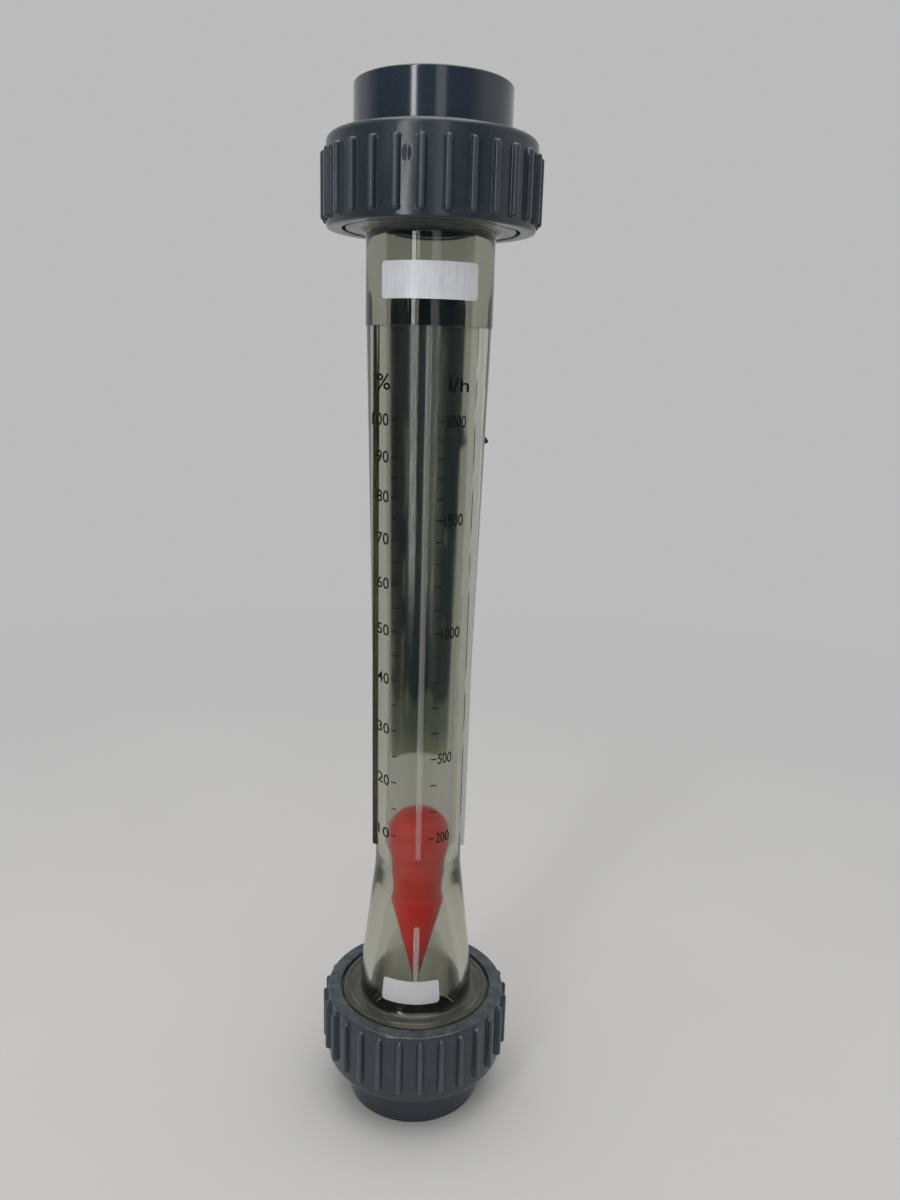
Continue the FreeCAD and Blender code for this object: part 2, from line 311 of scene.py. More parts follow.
@dataclass(frozen=True)
class ClearPlastic:
    """Thick clear plastic with a faint olive cast, its tint painted darker in the neck as painted
    shade and paler low down as painted light.
    """

    name: str
    tint: Colour
    clear_tint: Colour
    absorb_colour: Colour
    absorb_density: float
    shadow_colour: Colour
    veil_colour: Colour
    roughness: float

    def material(self) -> Material:
        """Build the finish, with plain see-through shadows."""
        material, g, main, output = fresh_material(self.name)
        wave = g.noise(g.place(0.02), 260.0, 2.0, 0.45)
        smear = g.noise(g.place(0.5), 60.0, 5.0, 0.6)
        matt = g.painted("matt")
        rough = g.plus(g.span(smear, 0.45, 0.75, self.roughness, self.roughness + 0.04),
                       g.times(matt, 0.42))
        # Base colour: the attribute clear blends the tint from painted shade in the neck (0) to
        # painted light in the inlet (1).
        g.feed(main, {"Base Color": g.blend(g.painted("clear"), self.tint, self.clear_tint),
                      "Transmission Weight": 1.0, "IOR": 1.43, "Roughness": rough,
                      "Normal": g.bump(0.5, 0.00003, wave)})
        straight = g.add("BsdfTransparent", {"Color": self.shadow_colour})
        veil = g.add("BsdfDiffuse", {"Color": self.veil_colour})
        haze = g.add("MixShader", {0: g.span(matt, 0.5, 1.0, 0.0, 0.9), 1: main, 2: veil})
        lamp = g.add("LightPath").outputs["Is Shadow Ray"]
        depth = g.add("VolumeAbsorption", {"Color": self.absorb_colour,
                                           "Density": self.absorb_density})
        g.feed(output, {"Surface": g.add("MixShader", {0: lamp, 1: haze, 2: straight}),
                        "Volume": depth})
        return material


@dataclass(frozen=True)
class PrintInk:
    """Screen-printed ink, a little uneven where it is thin."""

    name: str
    colour: Colour
    thin_colour: Colour

    def material(self) -> Material:
        """Build the finish."""
        material, g, main, _ = fresh_material(self.name)
        own = g.place()
        patch = g.span(g.noise(own, 900.0, 3.0, 0.6), 0.5, 0.75)
        grain = g.noise(own, 4000.0, 2.0, 0.5)
        colour = g.blend(patch, self.colour, self.thin_colour)
        g.feed(main, {"Base Color": colour, "Roughness": g.span(patch, 0.0, 1.0, 0.5, 0.65),
                      "Specular IOR Level": 0.12, "Normal": g.bump(0.3, 0.00002, grain)})
        return material


@dataclass(frozen=True)
class LabelFilm:
    """A foil label without print: a ground with fine brushed lines and faint darker clouds."""

    name: str
    colour: Colour
    shade: Colour
    metal: float
    roughness: float
    brushing: float

    def material(self) -> Material:
        """Build the finish."""
        material, g, main, _ = fresh_material(self.name)
        lines = g.noise(g.place(0.03), 2400.0, 2.0, 0.5)
        cloud = g.noise(g.place(), 110.0, 4.0, 0.6)
        streak = g.times(g.span(lines, 0.35, 0.65), self.brushing)
        shade = g.plus(streak, g.times(g.span(cloud, 0.4, 0.7), 0.35))
        colour = g.blend(g.math("MINIMUM", shade, 1.0), self.colour, self.shade)
        rough = g.span(lines, 0.3, 0.7, self.roughness, self.roughness + 0.12)
        g.feed(main, {"Base Color": colour, "Roughness": rough, "Metallic": self.metal,
                      "Normal": g.bump(0.35, 0.00004, cloud)})
        return material


@dataclass(frozen=True)
class StripFilm:
    """Dark backing film with upright creases and brown stains, with painted highlights in pale
    patches and a wavy line, and a painted shadow on its lower end that fades to a pale end.
    """

    name: str
    dark: Colour
    slate: Colour
    brown: Colour
    # The pale colour of the painted highlights on the film.
    sliver: Colour
    # A painted shadow on the film's lower end, and the pale colour it fades to at the bottom.
    worn: Colour
    bare: Colour
    brown_place: tuple[float, float] = (-0.0105, -0.0125)
    # Levels, in metres, where the painted shadow begins and where it fades to its pale end.
    bare_level: tuple[float, float] = (0.180, 0.168)
    worn_level: tuple[float, float] = (0.1955, 0.192)
    # Place and width of a thin wavy painted highlight line.
    seam_place: float = -0.0112
    seam_width: tuple[float, float] = (0.0007, 0.0003)

    def material(self) -> Material:
        """Build the finish."""
        material, g, main, _ = fresh_material(self.name)
        broad = g.noise(g.place(0.10), 70.0, 3.0, 0.5)
        fine = g.noise(g.place(0.05), 420.0, 3.0, 0.55)
        stain = g.noise(g.place(0.5), 75.0, 3.0, 0.5)
        lift = g.noise(g.place(0.11), 240.0, 1.0, 0.4)
        zone = g.noise(g.place(0.6), 38.0, 2.0, 0.5)
        tone = g.plus(g.times(broad, 0.6), g.times(fine, 0.4))
        colour = g.blend(g.span(tone, 0.38, 0.62), self.dark, self.slate)
        colour = g.blend(g.times(g.span(stain, 0.56, 0.7), 0.6), colour,
                         self.brown)
        side = g.part(g.place(), "X")
        creased = g.times(g.span(side, *self.brown_place), g.span(fine, 0.4, 0.55))
        colour = g.blend(g.times(creased, 0.7), colour, self.brown)
        # Painted shadow: below about 195 mm the film is painted a mid grey, and below about 170
        # mm paler still, so the film stands in for a shadow seen through the tube.
        ragged = g.plus(g.part(g.place(), "Z"), g.times(g.span(broad, 0.35, 0.65), 0.014))
        ragged = g.plus(ragged, g.times(g.span(fine, 0.35, 0.65), 0.006))
        shadow_end = g.blend(g.span(ragged, *self.bare_level), self.worn, self.bare)
        colour = g.blend(g.span(ragged, *self.worn_level), colour, shadow_end)
        # Painted highlights: a thin wavy line and scattered patches in the pale highlight colour;
        # the noise lift sets where they fall.
        wander = g.times(g.span(zone, 0.0, 1.0, -1.0, 1.0), 0.002)
        highlight_line_distance = g.math("ABSOLUTE", g.plus(g.plus(side, -self.seam_place), wander))
        highlight_line = g.times(g.span(highlight_line_distance, *self.seam_width), g.span(lift, 0.47, 0.52))
        highlight_share = g.times(g.span(lift, 0.66, 0.72), g.span(zone, 0.5, 0.6))
        highlight_share = g.math("MAXIMUM", highlight_share, highlight_line)
        colour = g.blend(g.times(highlight_share, 0.8), colour, self.sliver)
        g.feed(main, {"Base Color": colour, "Roughness": g.span(broad, 0.3, 0.7, 0.34, 0.55),
                      "Normal": g.bump(0.6, 0.0002, tone)})
        return material


@dataclass(frozen=True)
class TurnedSteel:
    """Stainless bar with fine lathe rings and a few rust specks."""

    name: str
    colour: Colour

    def material(self) -> Material:
        """Build the finish."""
        material, g, main, _ = fresh_material(self.name)
        rings = g.noise(g.place(1.0, 0.02), 2600.0, 2.0, 0.5)
        cloud = g.noise(g.place(), 300.0, 3.0, 0.55)
        colour = g.blend(g.times(g.span(cloud, 0.5, 0.8), 0.4), self.colour, RUST_COLOUR)
        g.feed(main, {"Base Color": colour, "Roughness": g.span(rings, 0.3, 0.7, 0.22, 0.38),
                      "Normal": g.bump(0.5, 0.00003, rings), "Metallic": 1.0})
        return material


NUT_PLASTIC = MouldedPlastic("satin_slate", (0.018, 0.025, 0.032), (0.024, 0.032, 0.040),
                             0.17, 0.09, 0.0, 2200.0, 0.03, 0.35, (0.05, 0.06, 0.073))
UNION_PLASTIC = MouldedPlastic("glossy_slate", (0.015, 0.020, 0.029), (0.019, 0.025, 0.036),
                               0.08, 0.05, 0.3, 1600.0, 0.005, 0.2)
FLOAT_PLASTIC = MouldedPlastic("float_red", (0.62, 0.017, 0.012), (0.68, 0.026, 0.018),
                               0.42, 0.10, 0.0, 1500.0, 0.02, 0.2)
STOP_PLASTIC = MouldedPlastic("stop_slate", (0.05, 0.056, 0.066), (0.062, 0.07, 0.08),
                              0.36, 0.10, 0.0, 1800.0, 0.02, 0.3)
SEAL_RUBBER = MouldedPlastic("seal_black", (0.012, 0.012, 0.013), (0.018, 0.018, 0.019),
                             0.55, 0.12, 0.0, 2600.0, 0.02, 0.6)
# Tube: the first two colours are the painted-shade tint of the neck and the painted-light tint of
# the inlet.
TUBE_PLASTIC = ClearPlastic("clear_olive", (0.60, 0.605, 0.57), (0.93, 0.93, 0.91),
                            (0.885, 0.89, 0.84), 180.0, (0.86, 0.86, 0.82),
                            (0.78, 0.79, 0.76), 0.012)
SCALE_INK = PrintInk("scale_black", (0.003, 0.003, 0.003), (0.010, 0.009, 0.008))
SILVER_LABEL = LabelFilm("label_silver", (0.64, 0.64, 0.67), (0.46, 0.47, 0.50), 0.15, 0.40, 0.5)
WHITE_LABEL = LabelFilm("label_white", (0.45, 0.45, 0.46), (0.38, 0.38, 0.39), 0.0, 0.5, 0.25)
# Back film: the last three colours are a painted highlight, a painted shadow and the pale end
# that shadow fades to.
BACK_FILM = StripFilm("strip_slate", (0.013, 0.021, 0.042), (0.032, 0.052, 0.100),
                      (0.085, 0.060, 0.050), (0.85, 0.85, 0.62),
                      (0.26, 0.31, 0.34), (0.56, 0.56, 0.50))
SLUG_STEEL = TurnedSteel("slug_steel", (0.50, 0.49, 0.47))


# ------------------------------------------------------------------ mesh work
@dataclass(frozen=True)
class Corner:
    """A corner of a half section: its radius and level, and how round it is."""

    radius: float
    level: float
    round: float = 0.0
    steps: int = 4


def azimuth(point: Vector) -> float:
    """Return the angle of a point from the front, in degrees, positive to the right."""
    return math.degrees(math.atan2(point.x, -point.y))


def polar(radius: float, angle: float, level: float) -> Vector:
    """Return the point at a radius and an angle from the front."""
    turn = math.radians(angle)
    return Vector((radius * math.sin(turn), -radius * math.cos(turn), level))


def follow(value: float, keys: Sequence[float], results: Sequence[float]) -> float:
    """Return a value read off a run of straight stretches, held at both ends."""
    if value <= keys[0]:
        return results[0]
    for low, high, first, second in zip(keys, keys[1:], results, results[1:]):
        if value <= high:
            return first + (second - first) * (value - low) / (high - low)
    return results[-1]


def half_section(corners: Sequence[Corner], closed: bool) -> BMesh:
    """Draw a half section at the front, and round its corners.

    Args:
        corners: the corners in order.
        closed: whether the last corner joins the first.

    Returns:
        A mesh of edges only.
    """
    bm = bmesh.new()
    points = [bm.verts.new(polar(c.radius, 0.0, c.level)) for c in corners]
    pairs = list(zip(points, points[1:])) + ([(points[-1], points[0])] if closed else [])
    for first, second in pairs:
        bm.edges.new((first, second))
    for corner, point in zip(corners, points):
        if corner.round <= 0.0:
            continue
        arms = [(edge.other_vert(point).co - point.co) for edge in point.link_edges]
        opening = arms[0].angle(arms[1])
        reach = corner.round / math.tan(opening / 2.0)
        reach = min(reach, 0.49 * min(arm.length for arm in arms))
        round_off(bm, [point], reach, corner.steps)
    return bm


def turn(bm: BMesh, columns: int) -> BMesh:
    """Spin a half section once around the axis and close its poles and seam."""
    bmesh.ops.spin(bm, geom=bm.verts[:] + bm.edges[:], cent=(0.0, 0.0, 0.0),
                   axis=(0.0, 0.0, 1.0), dvec=(0.0, 0.0, 0.0), angle=math.tau,
                   steps=columns, use_merge=True, use_duplicate=False)
    bmesh.ops.remove_doubles(bm, verts=bm.verts[:], dist=1e-4)
    bmesh.ops.recalc_face_normals(bm, faces=bm.faces[:])
    return bm


def turn_over(bm: BMesh) -> None:
    """Turn a piece from the lower end to the upper end of the tube."""
    bmesh.ops.rotate(bm, cent=(0.0, 0.0, MIDDLE), matrix=Matrix.Rotation(math.pi, 3, "X"),
                     verts=bm.verts[:])


def cut_across(bm: BMesh, axis: str, spots: Sequence[float], near: float = 1e-5) -> None:
    """Cut a mesh by planes square to an axis.

    Args:
        bm: the mesh to be cut.
        axis: the planes' axis, X or Z.
        spots: the planes' places along it.
        near: how close a vertex may be to a plane and count as on it.
    """
    normal = Vector((1.0, 0.0, 0.0)) if axis == "X" else Vector((0.0, 0.0, 1.0))
    for spot in spots:
        bmesh.ops.bisect_plane(bm, geom=bm.verts[:] + bm.edges[:] + bm.faces[:], dist=near,
                               plane_co=normal * spot, plane_no=normal)


def outline_face(spots: Sequence[tuple[float, float]]) -> tuple[BMesh, BMFace]:
    """Return a mesh with one upright face, drawn through some places, and that face."""
    bm = bmesh.new()
    return bm, bm.faces.new([bm.verts.new((x, 0.0, z)) for x, z in spots])


def round_off(bm: BMesh, corners: Sequence[BMVert], radius: float, steps: int) -> None:
    """Round corners of a half section or a flat face."""
    bmesh.ops.bevel(bm, geom=list(corners), offset=radius, offset_type="OFFSET",
                    segments=steps, profile=0.5, affect="VERTICES", material=-1)


def thicken(bm: BMesh, thickness: float) -> None:
    """Give a flat upright sheet its thickness, towards the back."""
    back = bmesh.ops.extrude_face_region(bm, geom=bm.faces[:])
    moved = [item for item in back["geom"] if isinstance(item, BMVert)]
    bmesh.ops.translate(bm, vec=(0.0, thickness, 0.0), verts=moved)


def to_mesh(bm: BMesh, name: str) -> Mesh:
    """Turn a finished working mesh into a mesh of the scene's."""
    mesh = bpy.data.meshes.new(name)
    bm.to_mesh(mesh)
    bm.free()
    return mesh


def join_in(bm: BMesh, other: BMesh) -> None:
    """Add a second working mesh to the first."""
    mesh = to_mesh(other, "joined_part")
    bm.from_mesh(mesh)
    bpy.data.meshes.remove(mesh)


def put_in(name: str, data: bpy.types.ID) -> Object:
    """Put a mesh, curve, lamp or camera into the scene."""
    holder = bpy.data.objects.new(name, data)
    bpy.context.scene.collection.objects.link(holder)
    return holder


def hand_over(bm: BMesh, name: str, finish: Material, body: Body,
              replaces: Sequence[str] = (), sharp: float = 32.0) -> Object:
    """Bring a mesh to metres, give it its finish and put it on its body in place of the solids it
    stands for.

    Args:
        bm: the finished shape, in millimetres.
        name: the piece's name.
        finish: its material.
        body: the body it moves with.
        replaces: names of the solids that it stands for.
        sharp: the smallest angle, in degrees, of an edge that is shaded sharp.

    Returns:
        The finished object.
    """
    bmesh.ops.scale(bm, vec=(MM, MM, MM), verts=bm.verts[:])
    mesh = to_mesh(bm, name)
    mesh.shade_smooth()
    mesh.set_sharp_from_angle(angle=math.radians(sharp))
    mesh.materials.append(finish)
    piece = put_in(name, mesh)
    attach(piece, body.value)
    if replaces:
        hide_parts(*replaces)
    log.info("%s: %d faces, on %s", name, len(mesh.polygons), body.value)
    return piece


def film_sheet(width: float, height: float, corner: float, columns: int,
               rows: int, thickness: float) -> BMesh:
    """Make a flat sheet with round corners, cut so that it can be wrapped.

    Args:
        width: its full width, along X.
        height: its full height, along Z.
        corner: radius of its corners.
        columns: how many strips it is cut into across.
        rows: how many it is cut into along its height.
        thickness: its thickness, along Y.

    Returns:
        A closed mesh, its front at Y = 0 and its lower left corner at the origin.
    """
    bm, face = outline_face(((0.0, 0.0), (width, 0.0), (width, height), (0.0, height)))
    round_off(bm, face.verts[:], corner, 5)
    cut_across(bm, "X", [width * index / columns for index in range(1, columns)])
    cut_across(bm, "Z", [height * index / rows for index in range(1, rows)])
    thicken(bm, thickness)
    bmesh.ops.recalc_face_normals(bm, faces=bm.faces[:])
    return bm


def wrap_film(bm: BMesh, width: float, low: float, first: float, last: float,
              reach: float, radius: Callable[[float], float]) -> BMesh:
    """Wrap a flat sheet around the tube.

    Args:
        bm: the sheet, as film_sheet makes it.
        width: the sheet's full width.
        low: level of its lower edge.
        first: angle of the edge at X = 0.
        last: angle of the other edge.
        reach: how far its outer side stands off the tube.
        radius: the tube's radius at a level.

    Returns:
        The same mesh, wrapped.
    """
    for vert in bm.verts:
        level = low + vert.co.z
        angle = first + (last - first) * vert.co.x / width
        vert.co = polar(radius(level) + reach - vert.co.y, angle, level)
    bmesh.ops.recalc_face_normals(bm, faces=bm.faces[:])
    return bm


# ------------------------------------------------------------------ unions
@dataclass
class UnionNut:
    """A union nut with half-round grip ribs."""

    end_level: float = 18.18
    height: float = 32.0
    hole_radius: float = 29.9
    thread_radius: float = 32.8
    outer_radius: float = 39.4
    web: float = 9.7
    end_round: float = 3.0
    mouth_edge: float = 1.0
    mouth_relief_radius: float = 33.6
    mouth_relief_depth: float = 3.0
    rib_count: int = 28
    rib_half_width: float = 1.35
    rib_height: float = 2.1
    rib_flank: float = 0.8
    rib_foot: float = 0.3
    rib_length: float = 24.4
    rib_offset: float = 5.4
    gate_width: float = 2.2
    gate_height: float = 5.5
    gate_depth: float = 0.6
    gate_level: float = 30.0
    first_rib: tuple[float, float] = (3.85, 5.2)
    gate_angle: tuple[float, float] = (-15.8, HALF_TURN + 12.7)
    columns_per_rib: int = 24

    def section(self) -> list[Corner]:
        """Return the nut's half section, with extra levels where the ribs end."""
        low, top = self.end_level, self.end_level + self.height
        rib_low = low + self.rib_offset
        rib_high = rib_low + self.rib_length
        tip = self.rib_half_width + self.rib_foot
        steps = [0.0, 0.18, 0.4, 0.75, 1.15, 1.6, tip]
        rise = [rib_low - self.rib_foot + step for step in steps]
        fall = [rib_high + self.rib_foot - step for step in reversed(steps)]
        span = [rise[-1] + (fall[0] - rise[-1]) * share for share in (0.25, 0.75)]
        gate = [self.gate_level + self.gate_height / 2.0 * share
                for share in (-1.0, -0.85, -0.6, -0.3, 0.0, 0.3, 0.6, 0.85, 1.0)]
        wall = [Corner(self.outer_radius, level)
                for level in sorted((*rise, *span, *gate, *fall))]
        relief = top - self.mouth_relief_depth
        return [
            Corner(self.hole_radius, low, 0.6, 3),
            Corner(self.outer_radius, low, self.end_round, 7),
            *wall,
            Corner(self.outer_radius, top, self.mouth_edge, 4),
            Corner(self.mouth_relief_radius, top, 0.5, 3),
            Corner(self.mouth_relief_radius, relief, 0.3, 2),
            Corner(self.thread_radius, relief, 0.3, 2),
            Corner(self.thread_radius, low + self.web),
            Corner(self.hole_radius, low + self.web),
        ]

    def rib_profile(self, distance: float) -> float:
        """Return how far a rib stands out at a distance from its middle line."""
        half, foot = self.rib_half_width, self.rib_foot
        if distance >= half + foot:
            return 0.0
        if distance >= half:
            return self.rib_flank * ((half + foot - distance) / foot) ** 2
        crown = self.rib_height - self.rib_flank
        return self.rib_flank + crown * math.sqrt(max(0.0, 1.0 - (distance / half) ** 2))

    def spacing(self) -> list[float]:
        """Return the lateral place of each column from a rib's middle to half a pitch."""
        half_pitch = math.pi * self.outer_radius / self.rib_count
        half, foot = self.rib_half_width, self.rib_foot
        near = [0.0, 0.30 * half, 0.57 * half, 0.78 * half, 0.92 * half, 0.99 * half,
                half + 0.25 * foot, half + 0.6 * foot, half + foot]
        count = self.columns_per_rib // 2 + 1 - len(near)
        rest = [near[-1] + (half_pitch - near[-1]) * (i + 1) / count for i in range(count)]
        return near + rest

    def shape_ribs(self, bm: BMesh, first_rib: float, gate_angle: float) -> None:
        """Draw the columns together at each rib, raise the ribs and press in the gate mark.

        Args:
            bm: the spun nut.
            first_rib: angle of one rib from the front.
            gate_angle: angle of the gate mark.
        """
        rub = bm.verts.layers.float.new("rub")
        pitch = FULL_TURN / self.rib_count
        places = self.spacing()
        per_half = self.columns_per_rib / 2.0
        low = self.end_level + self.rib_offset + self.rib_half_width
        high = self.end_level + self.rib_offset + self.rib_length - self.rib_half_width
        scale = math.degrees(1.0 / self.outer_radius)
        for vert in bm.verts:
            radius = math.hypot(vert.co.x, vert.co.y)
            angle = azimuth(vert.co)
            index = round(angle / pitch)
            offset = angle - index * pitch
            column = min(abs(offset) / (pitch / 2.0) * per_half, per_half)
            lateral = follow(column, range(len(places)), places)
            turned = first_rib + index * pitch + math.copysign(lateral * scale, offset)
            out = 0.0
            if radius > self.outer_radius - 0.01:
                beyond = max(low - vert.co.z, vert.co.z - high, 0.0)
                out = self.rib_profile(math.hypot(lateral, beyond))
                vert[rub] = max(0.0, out / self.rib_height - 0.75) * 4.0
                across = (turned - gate_angle + HALF_TURN) % FULL_TURN - HALF_TURN
                dent = math.hypot(across / scale / (self.gate_width / 2.0),
                                  (vert.co.z - self.gate_level) / (self.gate_height / 2.0))
                if dent < 1.0 and out == 0.0:
                    out = -self.gate_depth * math.sqrt(1.0 - dent)
            vert.co = polar(radius + out, turned, vert.co.z)

    def build(self, end: End, finish: Material) -> Object:
        """Build one nut and put it at its end of the tube."""
        bm = turn(half_section(self.section(), True), self.rib_count * self.columns_per_rib)
        if end is End.LOWER:
            self.shape_ribs(bm, self.first_rib[0], self.gate_angle[0])
            body, node = Body.LOWER_NUT, "lower_union_nut"
        else:
            self.shape_ribs(bm, self.first_rib[1], self.gate_angle[1])
            turn_over(bm)
            body, node = Body.UPPER_NUT, "upper_union_nut"
        return hand_over(bm, f"{end.value}_ribbed_nut", finish, body, [node], 40.0)


@dataclass
class EndConnector:
    """A pipe socket with the flange that the nut pulls on."""

    length: float = 36.0
    outer_radius: float = 29.5
    socket_radius: float = 25.1
    socket_depth: float = 31.0
    passage_radius: float = 22.0
    mouth_chamfer: float = 1.2
    flange_radius: float = 31.4
    flange_height: float = 8.0
    recess_radius: float = 27.32
    recess_depth: float = 2.85
    edge_round: float = 0.5
    columns: int = 144

    def section(self) -> list[Corner]:
        """Return the connector's half section."""
        under = self.length - self.flange_height
        floor = self.length - self.recess_depth
        edge = self.edge_round
        return [
            Corner(self.socket_radius + self.mouth_chamfer, 0.0, 0.25, 2),
            Corner(self.outer_radius, 0.0, edge + 0.3, 4),
            Corner(self.outer_radius, under, edge, 3),
            Corner(self.flange_radius, under, edge, 3),
            Corner(self.flange_radius, self.length, edge, 3),
            Corner(self.recess_radius, self.length, 0.2, 2),
            Corner(self.recess_radius, floor),
            Corner(self.passage_radius, floor, 0.2, 2),
            Corner(self.passage_radius, self.socket_depth, 0.4, 2),
            Corner(self.socket_radius, self.socket_depth, 0.4, 2),
            Corner(self.socket_radius, self.mouth_chamfer, 0.2, 2),
        ]

    def build(self, end: End, finish: Material) -> Object:
        """Build one connector and put it at its end of the tube."""
        bm = turn(half_section(self.section(), True), self.columns)
        if end is End.UPPER:
            turn_over(bm)
        return hand_over(bm, f"{end.value}_pipe_socket", finish, Body.TUBE,
                         [f"{end.value}_end_connector"])


# ------------------------------------------------------------------ measuring tube
@dataclass
class MeasuringTube:
    """The clear moulding: collars, tapering foot, scale section with bead and rails."""

    low: float = 36.0
    high: float = 386.0
    collar_radius: float = 32.4
    collar_height: float = 14.0
    collar_fillet: float = 4.5
    groove_radius: float = 30.2
    neck_radius: float = 24.5
    scale_low: float = 121.0
    scale_high: float = 337.0
    levels: tuple[float, ...] = (121.0, 229.0, 294.0, 332.0, 337.0)
    radii: tuple[float, ...] = (18.6, 21.4, 23.0, 24.0, 24.05)
    bead_round: float = 1.4
    bead_proud: float = 0.7
    root: tuple[float, float] = (17.7, 18.4)
    reach: tuple[float, float] = (19.7, 20.6)
    rail_proud: tuple[float, float] = (1.7, 0.6)
    rail_wall: float = 0.7
    rail_run: float = 4.5
    groove: float = 0.13
    foot_bead_low: float = 66.8
    foot_bead_high: float = 91.5
    scale_rings: int = 26
    marks: tuple[int, ...] = (0, 8, 30, 36, 39, 42, 90)
    widest_bore: float = 17.5
    inlet_radius: float = 19.7
    inlet_high: float = 98.0
    # Shares of the paler tint by zone: painted light, against the painted shade of the neck.
    scale_clear: float = 0.42
    inlet_clear: float = 1.0
    foot_clear: float = 0.6
    collar_matt: float = 0.52
    bore_matt: float = 0.10
    skin_matt: float = 0.38
    bead_matt: float = 0.57
    rail_matt: float = 0.74
    foot_bead_matt: float = 0.6

    def skin_radius(self, level: float) -> float:
        """Return the round outer radius of the scale section at a level."""
        return follow(level, self.levels, self.radii)

    def share(self, level: float) -> float:
        """Return how far up the scale section a level is, held between 0 and 1."""
        span = (level - self.scale_low) / (self.scale_high - self.scale_low)
        return min(1.0, max(0.0, span))

    def rail_points(self, level: float) -> list[Vector]:
        """Return the right rail's root, outer edge, back edge and heel at a level."""
        up = self.share(level)
        skin = self.skin_radius(min(max(level, self.scale_low), self.scale_high))
        root_x = self.root[0] + up * (self.root[1] - self.root[0])
        edge_x = self.reach[0] + up * (self.reach[1] - self.reach[0])
        outer = skin + self.rail_proud[0] + up * (self.rail_proud[1] - self.rail_proud[0])
        root = Vector((root_x, -math.sqrt(skin ** 2 - root_x ** 2), 0.0))
        edge = Vector((edge_x, -math.sqrt(outer ** 2 - edge_x ** 2), 0.0))
        along = Vector((-edge.y, edge.x, 0.0)).normalized()
        back = edge + along * self.rail_wall
        heel = (back + along * self.rail_run).normalized() * skin
        return [root, edge, back, heel]

    def outside(self) -> list[Corner]:
        """Return the outer half section from the lower collar to the upper one."""
        foot = self.low + self.collar_height
        head = self.high - self.collar_height
        step = (self.scale_high - self.scale_low) / self.scale_rings
        scale = [Corner(self.skin_radius(self.scale_low + index * step),
                        self.scale_low + index * step) for index in range(1, self.scale_rings)]
        return [
            Corner(self.collar_radius, self.low, 0.6, 3),
            Corner(self.collar_radius, foot, 0.6, 3),
            Corner(self.groove_radius + 0.4, foot, 0.15, 2),
            Corner(self.groove_radius + 0.1, foot - 0.45, 0.15, 2),
            Corner(self.groove_radius - 0.3, foot - 0.45, 0.15, 2),
            Corner(self.groove_radius - 0.6, foot, 0.15, 2),
            Corner(self.neck_radius, foot, self.collar_fillet, 7),
            Corner(self.neck_radius + 0.3, 58.5, 40.0, 8),
            Corner(18.55, 111.5, 6.0, 4),
            Corner(18.58, self.scale_low - 0.12),
            Corner(18.6, self.scale_low + 0.02),
            *scale,
            Corner(24.05, self.scale_high - 0.06),
            Corner(self.neck_radius, self.scale_high + 0.06, 0.1, 2),
            Corner(self.neck_radius, head, self.collar_fillet, 7),
            Corner(self.collar_radius, head, 0.6, 3),
            Corner(self.collar_radius, self.high, 0.6, 3),
        ]

    def inside(self) -> list[Corner]:
        """Return the bore's half section from the upper face down to the lower one."""
        return [
            Corner(19.6, 386.0, 0.3, 2),
            Corner(19.6, 377.0, 0.2, 2),
            Corner(17.0, 377.0, 0.3, 2),
            Corner(17.0, 337.0),
            Corner(15.8, 264.6),
            Corner(14.6, 192.2),
            Corner(13.42, 121.6, 30.0, 4),
            Corner(12.05, 99.0, 20.0, 4),
            Corner(19.6, 54.5, 14.0, 4),
            Corner(19.6, 36.0, 0.3, 2),
        ]

    def column_angles(self, level: float) -> list[float]:
        """Return the angles at which the marked columns stand at a level."""
        skin = self.skin_radius(min(max(level, self.scale_low), self.scale_high))
        half = math.sqrt(self.bead_round ** 2 - (self.bead_round - self.bead_proud) ** 2)
        bead = math.degrees(math.asin((half + 0.05) / skin))
        rail = [azimuth(point) for point in self.rail_points(level)]
        return [0.0, bead, *rail, HALF_TURN]

    def bead_out(self, lateral: float, low_gap: float) -> float:
        """Return how far a half-round bead stands out, at a place beside and below its line."""
        sink = self.bead_round - self.bead_proud
        distance = math.hypot(lateral, low_gap)
        if distance >= self.bead_round:
            return 0.0
        return max(0.0, math.sqrt(self.bead_round ** 2 - distance ** 2) - sink)

    def lime(self, spot: Vector, radius: float) -> float:
        """Return how matt lime has made the bore at a place, most of all low at the back."""
        behind = follow(spot.y / radius, (0.0, 0.8), (0.0, 1.0))
        return 0.12 + 0.73 * behind * follow(spot.z, (66.0, 82.0), (1.0, 0.0))

    def haze(self, spot: Vector, radius: float) -> float:
        """Return how hazy the waist is at a place, most of all at the mould's parting lines."""
        aside = follow(abs(spot.x) / radius, (0.66, 0.92), (0.0, 1.0))
        return 0.05 + 0.42 * aside * follow(spot.z, (98.0, 108.0, 113.0, 121.0),
                                            (0.0, 1.0, 1.0, 0.0))

    def mould(self, bm: BMesh) -> None:
        """Set the columns out along the bead and rails and raise those features."""
        marks, columns = self.marks, self.marks[-1]
        matt = bm.verts.layers.float.new("matt")
        clear = bm.verts.layers.float.new("clear")
        for vert in bm.verts:
            level = vert.co.z
            radius = math.hypot(vert.co.x, vert.co.y)
            angle = azimuth(vert.co)
            side = -1.0 if angle < 0.0 else 1.0
            column = abs(angle) / HALF_TURN * columns
            placed = follow(column, marks, self.column_angles(level))
            spot = polar(radius, placed, level)
            outer = radius > self.widest_bore and abs(radius - self.skin_radius(level)) < 0.3
